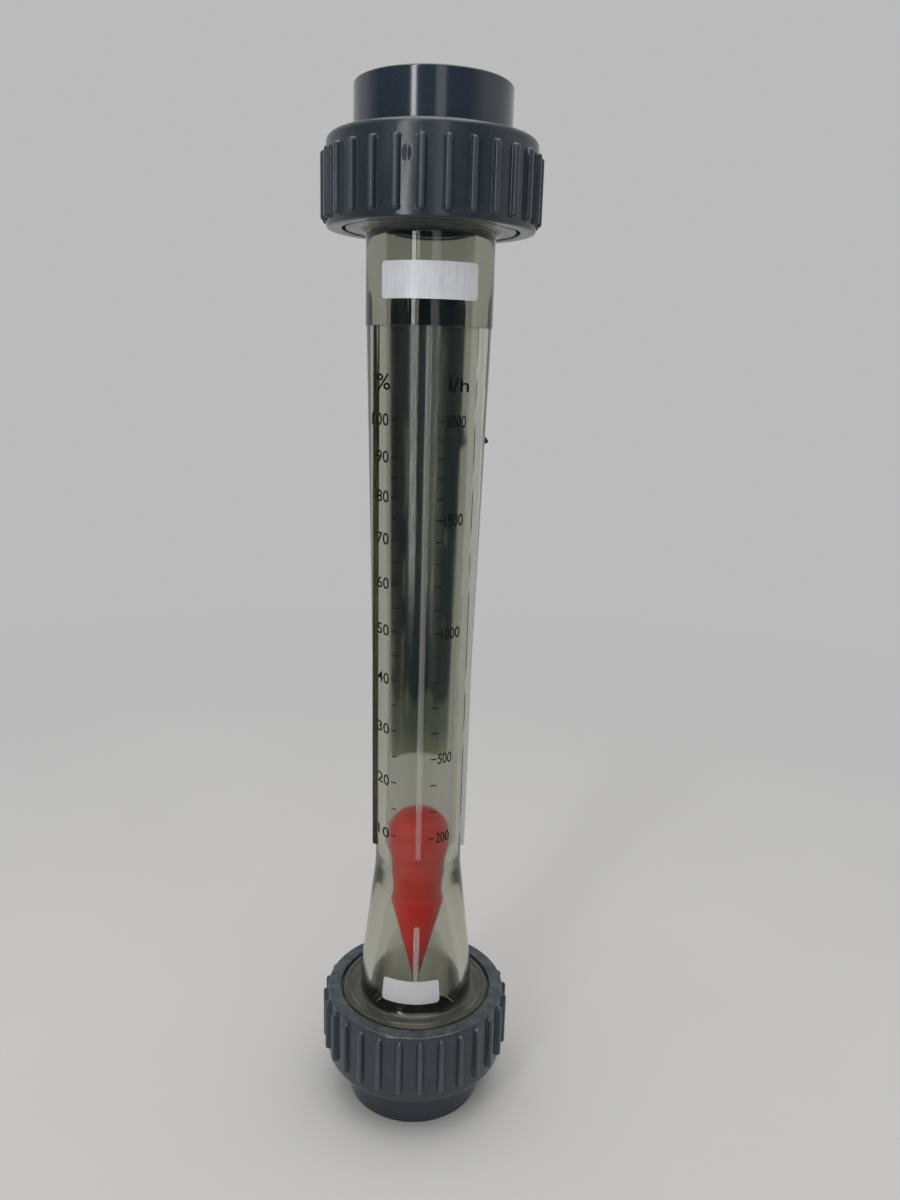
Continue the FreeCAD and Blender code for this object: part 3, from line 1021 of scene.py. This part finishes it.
            # clear paints light and shade into the tint: 0 in the neck is painted shade; the
            # scale, foot and inlet get more painted light.
            vert[clear] = 0.0 if level > self.scale_high else self.scale_clear
            if radius > self.neck_radius + 1.0:
                vert[matt] = self.collar_matt
            elif radius < self.widest_bore and self.scale_low < level < self.scale_high:
                vert[matt] = self.bore_matt
            elif level < self.inlet_high:
                inlet = radius < self.inlet_radius
                vert[clear] = self.inlet_clear if inlet else self.foot_clear
                vert[matt] = self.lime(vert.co, radius) if inlet else 0.0
            elif radius > self.widest_bore and level < self.scale_low:
                vert[matt] = self.haze(spot, radius)
            if outer and self.scale_low < level < self.scale_high:
                vert[matt] = self.bead_matt if column < marks[1] - 1.5 else self.skin_matt
                if side > 0.0 and marks[2] <= column <= marks[5]:
                    vert[matt] = self.rail_matt
                root, edge, back, heel = self.rail_points(level)
                if column <= marks[1]:
                    spot = polar(radius + self.bead_out(spot.x, 0.0), placed, level)
                elif marks[2] <= column <= marks[5]:
                    chain = (root, edge, back, heel)
                    spot.x = follow(column, marks[2:6], [point.x for point in chain])
                    spot.y = follow(column, marks[2:6], [point.y for point in chain])
                if abs(column - marks[2]) < 0.5:
                    spot = root * (1.0 - self.groove / radius)
            elif 60.0 < level < 95.0 and radius > 20.3 and column <= marks[1]:
                gap = max(level - self.foot_bead_high + self.bead_round, 0.0)
                proud = self.bead_out(spot.x, gap) if level > self.foot_bead_low else 0.0
                vert[matt] = self.foot_bead_matt if proud > 0.2 else 0.0
                spot = polar(radius + proud, placed, level)
            vert.co = Vector((spot.x * side, spot.y, level))

    def build(self, finish: Material) -> Object:
        """Build the tube."""
        bm = half_section(self.outside() + self.inside(), True)
        low, high = self.foot_bead_low, self.foot_bead_high
        cut_across(bm, "Z", (low - 0.05, low + 0.05, low + 8.0, low + 16.0, high - 1.4,
                             high - 0.8, high - 0.3, high + 0.1), 1e-4)
        turn(bm, self.marks[-1] * 2)
        self.mould(bm)
        return hand_over(bm, "clear_tube", finish, Body.TUBE, ["measuring_tube"], 30.0)


# ------------------------------------------------------------------ scale print
@dataclass
class ScalePrint:
    """The two printed scales, wrapped on the front of the tube."""

    tube: MeasuringTube
    lift: float = 0.03
    ink: float = 0.02
    tick_height: float = 0.5
    digit_height: float = 4.7
    slice_width: float = 0.5
    zero_level: float = 104.8
    rise: float = 2.625
    bend: float = 0.00646
    ends: tuple[float, float] = (130.4, 302.7)
    figure_right: tuple[float, float] = (-12.4, -14.5)
    tick_left: tuple[float, float] = (-11.7, -13.4)
    tick_right: tuple[float, float] = (-9.3, -11.0)
    percent_digit: float = 2.45
    litres_digit: float = 1.83
    litres_named: tuple[int, ...] = (2000, 1500, 1000, 500, 200)
    litres_left: float = 4.2
    litres_right: tuple[float, float] = (6.7, 7.0)
    litres_figure_left: float = 7.3
    percent_sign: tuple[float, ...] = (-19.4, -14.0, 313.6, 319.6)
    litres_sign: tuple[float, ...] = (7.9, 15.4, 313.6, 318.6)
    letter_weight: float = 0.010

    def level(self, percent: float) -> float:
        """Return the level at which a share of the full flow is printed."""
        return self.zero_level + self.rise * percent - self.bend * percent ** 2

    def arc(self, lateral: float, level: float) -> float:
        """Return the way along the skin from the middle to a lateral place."""
        skin = self.tube.skin_radius(level)
        root, edge = self.tube.rail_points(level)[:2]
        size = abs(lateral)
        if size <= root.x:
            way = skin * math.asin(size / skin)
        else:
            way = skin * math.asin(root.x / skin) + (
                (size - root.x) / (edge.x - root.x) * (edge - root).length)
        return math.copysign(way, lateral)

    def on_skin(self, way: float, level: float, out: float) -> Vector:
        """Return the point above the skin at a way along it from the middle."""
        skin = self.tube.skin_radius(level)
        root, edge = self.tube.rail_points(level)[:2]
        bend = skin * math.asin(root.x / skin)
        size = abs(way)
        if size <= bend:
            spot = polar(skin + out, math.degrees(size / skin), level)
        else:
            along = (edge - root).normalized()
            normal = Vector((-along.y, along.x, 0.0)) * -1.0
            spot = root + along * (size - bend) + normal * out
        return Vector((math.copysign(spot.x, way) if size else 0.0, spot.y, level))

    def wrap(self, bm: BMesh, mesh: Mesh, left: float, right: float,
             low: float, high: float) -> None:
        """Fit a flat mesh between two lateral places and two levels, and lay it on the skin.

        Args:
            bm: the print so far, to which the mesh is added.
            mesh: the flat shape, in its XY plane, with its thickness along Z.
            left: lateral place of its left edge.
            right: lateral place of its right edge.
            low: level of its foot.
            high: level of its top.
        """
        shape = bmesh.new()
        shape.from_mesh(mesh)
        bpy.data.meshes.remove(mesh)
        bmesh.ops.remove_doubles(shape, verts=shape.verts[:], dist=1e-5)
        xs = [vert.co.x for vert in shape.verts]
        ys = [vert.co.y for vert in shape.verts]
        middle = (low + high) / 2.0
        across = (right - left) / (max(xs) - min(xs))
        upward = (high - low) / (max(ys) - min(ys))
        base_x, base_y = min(xs), min(ys)
        for vert in shape.verts:
            x = left + (vert.co.x - base_x) * across
            z = low + (vert.co.y - base_y) * upward
            vert.co = Vector((x, z, self.ink if vert.co.z > 0.0 else 0.0))
        count = max(1, int((right - left) / self.slice_width))
        cut_across(shape, "X", [left + (right - left) * index / count
                                for index in range(1, count)], 1e-4)
        bmesh.ops.triangulate(shape, faces=shape.faces[:])
        for vert in shape.verts:
            way = self.arc(vert.co.x, middle)
            vert.co = self.on_skin(way, vert.co.y, self.lift + vert.co.z)
        bmesh.ops.recalc_face_normals(shape, faces=shape.faces[:])
        join_in(bm, shape)

    def letters(self, text: str) -> Mesh:
        """Return a flat mesh of some lettering."""
        curve = bpy.data.curves.new("letters", "FONT")
        curve.body = text
        curve.extrude = 0.01
        curve.offset = self.letter_weight
        curve.resolution_u = 5
        holder = put_in("letters", curve)
        graph = bpy.context.evaluated_depsgraph_get()
        mesh = bpy.data.meshes.new_from_object(holder.evaluated_get(graph))
        bpy.data.objects.remove(holder)
        bpy.data.curves.remove(curve)
        return mesh

    def bar(self) -> Mesh:
        """Return a flat unit bar for a tick."""
        bm = bmesh.new()
        bmesh.ops.create_cube(bm, size=1.0)
        return to_mesh(bm, "bar")

    def tick(self, bm: BMesh, level: float, left: float, right: float) -> None:
        """Print one tick."""
        half = self.tick_height / 2.0
        self.wrap(bm, self.bar(), left, right, level - half, level + half)

    def number(self, bm: BMesh, value: int, left: float, right: float, level: float) -> None:
        """Print one number beside its tick."""
        half = self.digit_height / 2.0
        self.wrap(bm, self.letters(str(value)), left, right, level - half, level + half)

    def build_percent(self, finish: Material) -> Object:
        """Print the left scale, in percent."""
        bm = bmesh.new()
        for percent in range(10, 101, 5):
            level = self.level(percent)
            edge, left, right = (follow(level, self.ends, places) for places in (
                self.figure_right, self.tick_left, self.tick_right))
            if percent % 10:
                self.tick(bm, level, left + 0.5, right)
                continue
            width = self.percent_digit * len(str(percent)) - (0.8 if percent == 100 else 0.0)
            self.tick(bm, level, left, right)
            self.number(bm, percent, edge - width, edge, level)
        self.wrap(bm, self.letters("%"), *self.percent_sign)
        return hand_over(bm, "scale_print_percent", finish, Body.TUBE, (), 30.0)

    def build_litres(self, finish: Material) -> Object:
        """Print the right scale, in litres per hour."""
        bm = bmesh.new()
        for flow in range(200, 2001, 100):
            level = self.level(flow / 20.0)
            if flow in self.litres_named:
                left = self.litres_figure_left
                self.tick(bm, level, self.litres_left, self.litres_right[0])
                self.number(bm, flow, left, left + self.litres_digit * len(str(flow)), level)
            else:
                self.tick(bm, level, self.litres_left, self.litres_right[1])
        self.wrap(bm, self.letters("l/h"), *self.litres_sign)
        return hand_over(bm, "scale_print_litres", finish, Body.TUBE, (), 30.0)


# ------------------------------------------------------------------ float
@dataclass
class Float:
    """The red float: a cone with a body, a wider head and a crowned cap."""

    tip_level: float = 51.91
    tip_radius: float = 0.8
    shoulder_level: float = 95.9
    body_radius: float = 11.55
    neck_level: float = 114.2
    head_level: float = 120.8
    head_radius: float = 13.1
    land_level: float = 126.75
    hollow_radius: float = 9.55
    spigot_depth: float = 5.0
    weight_radius: float = 6.0
    weight_level: float = 79.91
    cap_top: float = 135.35
    fit: float = 0.05
    columns: int = 120

    def shell_section(self) -> list[Corner]:
        """Return the shell's half section, from its tip round to its hollow."""
        floor = self.land_level - self.spigot_depth
        return [
            Corner(0.0, self.tip_level),
            Corner(self.tip_radius, self.tip_level + self.tip_radius, 1.2, 4),
            Corner(self.body_radius, self.shoulder_level, 10.0, 5),
            Corner(self.body_radius, self.neck_level, 1.2, 3),
            Corner(self.head_radius, self.head_level, 1.5, 3),
            Corner(self.head_radius, self.land_level, 0.25, 2),
            Corner(self.hollow_radius, self.land_level, 0.2, 2),
            Corner(self.hollow_radius, floor, 0.2, 2),
            Corner(self.weight_radius, floor, 0.2, 2),
            Corner(self.weight_radius, self.weight_level),
            Corner(0.0, self.weight_level),
        ]

    def cap_section(self) -> list[Corner]:
        """Return the cap's half section, from its spigot to its crown."""
        rise = self.cap_top - self.land_level
        spigot = self.hollow_radius - self.fit
        return [
            Corner(0.0, self.land_level - self.spigot_depth + self.fit),
            Corner(spigot, self.land_level - self.spigot_depth + self.fit, 0.4, 2),
            Corner(spigot, self.land_level),
            Corner(self.head_radius, self.land_level, 0.25, 2),
            Corner(self.head_radius - 0.6, self.land_level + 0.45 * rise, 8.0, 5),
            Corner(self.head_radius - 4.4, self.land_level + 0.86 * rise, 6.0, 5),
            Corner(self.head_radius * 0.30, self.cap_top, 10.0, 5),
            Corner(0.0, self.cap_top),
        ]

    def build(self, finish: Material) -> list[Object]:
        """Build the shell and its cap."""
        shell = turn(half_section(self.shell_section(), False), self.columns)
        cap = turn(half_section(self.cap_section(), False), self.columns)
        return [
            hand_over(shell, "float_cone", finish, Body.FLOAT, ["float_shell"]),
            hand_over(cap, "float_crown", finish, Body.FLOAT, ["float_cap"]),
        ]


# ------------------------------------------------------------------ labels and strip
@dataclass
class TubeLabels:
    """The two labels on the tube, both bare."""

    tube: MeasuringTube
    gap: float = 0.12
    thickness: float = 0.2
    upper_low: float = 346.3
    upper_height: float = 13.1
    upper_left: float = -45.0
    upper_right: float = 44.9
    lower_low: float = 56.0
    lower_height: float = 10.3
    lower_left: float = -34.6
    lower_right: float = 24.6
    corner: float = 1.4
    columns: int = 36
    rows: int = 4

    def wrapped(self, low: float, height: float, left: float, right: float,
                radius: Callable[[float], float]) -> BMesh:
        """Return a label wrapped on a stretch of the tube.

        Args:
            low: level of its lower edge.
            height: its height.
            left: angle of its left edge.
            right: angle of its right edge.
            radius: the tube's radius at a level.
        """
        width = math.radians(right - left) * self.tube.neck_radius
        bm = film_sheet(width, height, self.corner, self.columns, self.rows, self.thickness)
        return wrap_film(bm, width, low, left, right, self.gap + self.thickness, radius)

    def foot_radius(self, level: float) -> float:
        """Return the tube's radius at a level of its foot, where the small label is."""
        return follow(level, (54.5, 58.0, 72.0), (24.55, 24.75, 22.9))

    def build(self, silver: Material, white: Material) -> list[Object]:
        """Build both labels."""
        upper = self.wrapped(self.upper_low, self.upper_height, self.upper_left,
                             self.upper_right, lambda level: self.tube.neck_radius)
        lower = self.wrapped(self.lower_low, self.lower_height, self.lower_left,
                             self.lower_right, self.foot_radius)
        return [
            hand_over(upper, "silver_label", silver, Body.TUBE, ["upper_label"]),
            hand_over(lower, "white_label", white, Body.TUBE, ["lower_label"]),
        ]


@dataclass
class BackStrip:
    """The dark film on the back of the tube, with one corner that has come loose."""

    tube: MeasuringTube
    # The film runs down to here; its part below about 195 mm carries the painted shadow.
    low: float = 155.0
    high: float = 352.0
    right: float = 124.0
    left: float = 245.0
    gap: float = 0.2
    thickness: float = 0.2
    corner: float = 7.0
    mean_radius: float = 22.0
    columns: int = 40
    rows: int = 60
    ear_level: float = 293.5
    ear_reach: float = 9.3
    ear_rise: float = 9.0
    ear_drop: float = 4.0
    ear_overlap: float = 0.7
    ear_round: float = 1.0
    ear_step: float = 1.05
    ear_curl: float = 0.008

    def skin(self, level: float) -> float:
        """Return the tube's radius under the strip."""
        if level > self.tube.scale_high - 0.3:
            return self.tube.neck_radius
        return self.tube.skin_radius(level)

    def sheet(self) -> BMesh:
        """Return the wrapped sheet."""
        width = math.radians(self.left - self.right) * self.mean_radius
        bm = film_sheet(width, self.high - self.low, self.corner, self.columns, self.rows,
                        self.thickness)
        return wrap_film(bm, width, self.low, self.right, self.left,
                         self.gap + self.thickness, self.skin)

    def ear(self) -> BMesh:
        """Return the loose tongue, which leaves the tube on a gently curling tangent."""
        bm, face = outline_face(((0.0, self.ear_rise), (self.ear_reach + self.ear_overlap, 0.0),
                                 (0.0, -self.ear_drop)))
        round_off(bm, [face.verts[1]], self.ear_round, 3)
        cut_across(bm, "X", [index * self.ear_step for index in range(1, 9)])
        thicken(bm, self.thickness)
        turn_at = math.radians(self.right)
        outward = Vector((math.sin(turn_at), -math.cos(turn_at), 0.0))
        along = Vector((-math.cos(turn_at), -math.sin(turn_at), 0.0))
        for vert in bm.verts:
            level = self.ear_level + vert.co.z
            reach = vert.co.x - self.ear_overlap
            curl = self.ear_curl * max(0.0, reach) ** 2
            out = self.skin(level) + self.gap + self.thickness - vert.co.y + curl
            vert.co = outward * out + along * reach + Vector((0.0, 0.0, level))
        bmesh.ops.recalc_face_normals(bm, faces=bm.faces[:])
        return bm

    def build(self, finish: Material) -> Object:
        """Build the strip with its loose tongue."""
        bm = self.sheet()
        join_in(bm, self.ear())
        return hand_over(bm, "back_film", finish, Body.TUBE, ["back_strip"], 60.0)


# ------------------------------------------------------------------ studio
@dataclass(frozen=True)
class Softbox:
    """An upright lamp that faces the axis: its angle from the front, its place and size."""

    name: str
    angle: float
    distance: float
    level: float
    width: float
    height: float
    power: float


@dataclass
class Studio:
    """A pale floor, soft lamps and the camera."""

    floor_radius: float = 3.0
    floor_fade: tuple[float, float] = (0.25, 0.9)
    front_edge: tuple[float, float] = (-0.10, -0.30)
    floor_colour: Colour = (0.47, 0.465, 0.455)
    background: Colour = (0.50, 0.50, 0.505)
    ambient: Colour = (0.66, 0.66, 0.67)
    room: Colour = (0.06, 0.085, 0.125)
    camera_place: tuple[float, float, float] = (0.0, -0.3903, 0.3234)
    pitch: float = 13.59
    yaw: float = 1.61
    roll: float = 1.58
    lens: float = 29.19
    softboxes: tuple[Softbox, ...] = (
        Softbox("left_window", -28.5, 0.70, 0.62, 0.08, 1.15, 2.4),
        Softbox("right_window", 10.0, 0.72, 0.62, 0.18, 1.15, 0.7))
    ceiling_size: float = 1.4
    ceiling_power: float = 14.0
    ceiling_place: tuple[float, float, float] = (0.0, -0.1, 1.7)

    def seen(self, g: Graph, path: bpy.types.bpy_prop_collection) -> NodeSocket:
        """Return 1 for a ray that is seen, straight or by way of gloss or glass."""
        share = g.math("MAXIMUM", path["Is Camera Ray"], path["Is Glossy Ray"])
        return g.math("MAXIMUM", share, path["Is Transmission Ray"])

    def floor(self) -> None:
        """Lay the floor, which runs into the background far from the object."""
        bm = bmesh.new()
        bmesh.ops.create_circle(bm, cap_ends=True, segments=96, radius=self.floor_radius)
        mesh = to_mesh(bm, "pale_floor")
        material, g, main, output = fresh_material("floor_paint")
        cloud = g.noise(g.place(), 6.0, 3.0, 0.5)
        lift = tuple(min(1.0, part * 1.03) for part in self.floor_colour)
        colour = g.blend(g.span(cloud, 0.3, 0.7), self.floor_colour, lift)
        g.feed(main, {"Base Color": colour, "Roughness": 0.8, "Specular IOR Level": 0.2})
        own = g.place()
        path = g.add("LightPath").outputs
        away = g.add("VectorMath", {0: own}, operation="LENGTH").outputs["Value"]
        front = g.times(g.span(g.part(own, "Y"), *self.front_edge), path["Glossy Depth"])
        front = g.math("MINIMUM", front, 1.0)
        far = g.math("MAXIMUM", g.span(away, *self.floor_fade), front)
        glow = g.add("Emission", {"Color": g.blend(front, self.background, self.room)})
        share = g.times(far, self.seen(g, path))
        g.feed(output, {"Surface": g.add("MixShader", {0: share, 1: main, 2: glow})})
        mesh.materials.append(material)
        floor = put_in("pale_floor", mesh)

    def world(self) -> None:
        """Set the soft light from all round and the plain background."""
        world = bpy.data.worlds.new("studio")
        world.use_nodes = True
        bpy.context.scene.world = world
        g = Graph(world.node_tree)
        world.node_tree.nodes.clear()
        output = g.add("OutputWorld")
        path = g.add("LightPath").outputs
        soft = g.add("Background", {"Color": self.ambient, "Strength": 1.0})
        course = g.add("TexCoord").outputs["Generated"]
        toward = g.plus(g.part(course, "Y"), g.times(g.part(course, "X"), 0.3))
        behind = g.times(g.span(toward, 0.1, -0.35), g.math("MINIMUM", path["Glossy Depth"], 1.0))
        around = g.blend(behind, self.background, self.room)
        pale = g.add("Background", {"Color": around, "Strength": 1.0})
        mix = g.add("MixShader", {0: self.seen(g, path), 1: soft, 2: pale})
        g.feed(output, {"Surface": mix})

    def lights(self) -> None:
        """Stand the softboxes that show as streaks on the sockets, and hang the ceiling lamp."""
        for box in self.softboxes:
            lamp = bpy.data.lights.new(box.name, "AREA")
            lamp.shape = "RECTANGLE"
            lamp.size, lamp.size_y = box.width, box.height
            lamp.energy = box.power
            holder = put_in(box.name, lamp)
            holder.location = polar(box.distance, box.angle, box.level)
            aim = Vector((0.0, 0.0, box.level)) - holder.location
            holder.rotation_euler = aim.to_track_quat("-Z", "Y").to_euler()
        ceiling = bpy.data.lights.new("ceiling", "AREA")
        ceiling.size, ceiling.energy = self.ceiling_size, self.ceiling_power
        put_in("ceiling", ceiling).location = self.ceiling_place

    def camera(self) -> None:
        """Set up the camera."""
        pitch, yaw, roll = (math.radians(a) for a in (self.pitch, self.yaw, self.roll))
        ahead = Vector((math.sin(yaw) * math.cos(pitch), math.cos(yaw) * math.cos(pitch),
                        -math.sin(pitch)))
        right = Vector((math.cos(yaw), -math.sin(yaw), 0.0))
        up = right.cross(ahead)
        across = right * math.cos(roll) + up * math.sin(roll)
        upward = up * math.cos(roll) - right * math.sin(roll)
        data = bpy.data.cameras.new("camera")
        data.lens = self.lens
        data.sensor_width = 36.0
        data.clip_start = 0.01
        holder = put_in("camera", data)
        turned = Matrix((across, upward, -ahead)).transposed().to_4x4()
        holder.matrix_world = Matrix.Translation(self.camera_place) @ turned
        bpy.context.scene.camera = holder

    def build(self) -> None:
        """Set the whole studio."""
        self.camera()
        self.floor()
        self.world()
        self.lights()
        bpy.context.scene.view_settings.view_transform = "Standard"


@dataclass
class KeptSolids:
    """The frame's own solids that stay in view, each with its finish."""

    nodes: dict[str, Object]
    kept: tuple[tuple[str, str], ...] = (
        ("lower_seal_ring", "seal"), ("upper_seal_ring", "seal"),
        ("float_weight", "slug"), ("upper_float_stop", "stop"))

    def dress(self, finishes: dict[str, Material]) -> None:
        """Give each solid its finish."""
        for name, key in self.kept:
            node = self.nodes[name]
            if not node.material_slots:
                node.data.materials.append(finishes[key])
            for slot in node.material_slots:
                slot.material = finishes[key]
            log.info("%s: kept, finish %s", name, key)


def main() -> None:
    """Build every piece in order and report it."""
    logging.basicConfig(level=logging.INFO, format="%(message)s")
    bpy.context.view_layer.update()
    tube = MeasuringTube()
    nut_finish = NUT_PLASTIC.material()
    union_finish = UNION_PLASTIC.material()
    ink = SCALE_INK.material()
    for end in End:
        EndConnector().build(end, union_finish)
        UnionNut().build(end, nut_finish)
    tube.build(TUBE_PLASTIC.material())
    scale = ScalePrint(tube)
    scale.build_percent(ink)
    scale.build_litres(ink)
    Float().build(FLOAT_PLASTIC.material())
    TubeLabels(tube).build(SILVER_LABEL.material(), WHITE_LABEL.material())
    BackStrip(tube).build(BACK_FILM.material())
    KeptSolids(frame["nodes"]).dress({"seal": SEAL_RUBBER.material(),
                                      "slug": SLUG_STEEL.material(),
                                      "stop": STOP_PLASTIC.material()})
    Studio().build()
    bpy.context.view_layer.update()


if __name__ == "__main__":
    main()
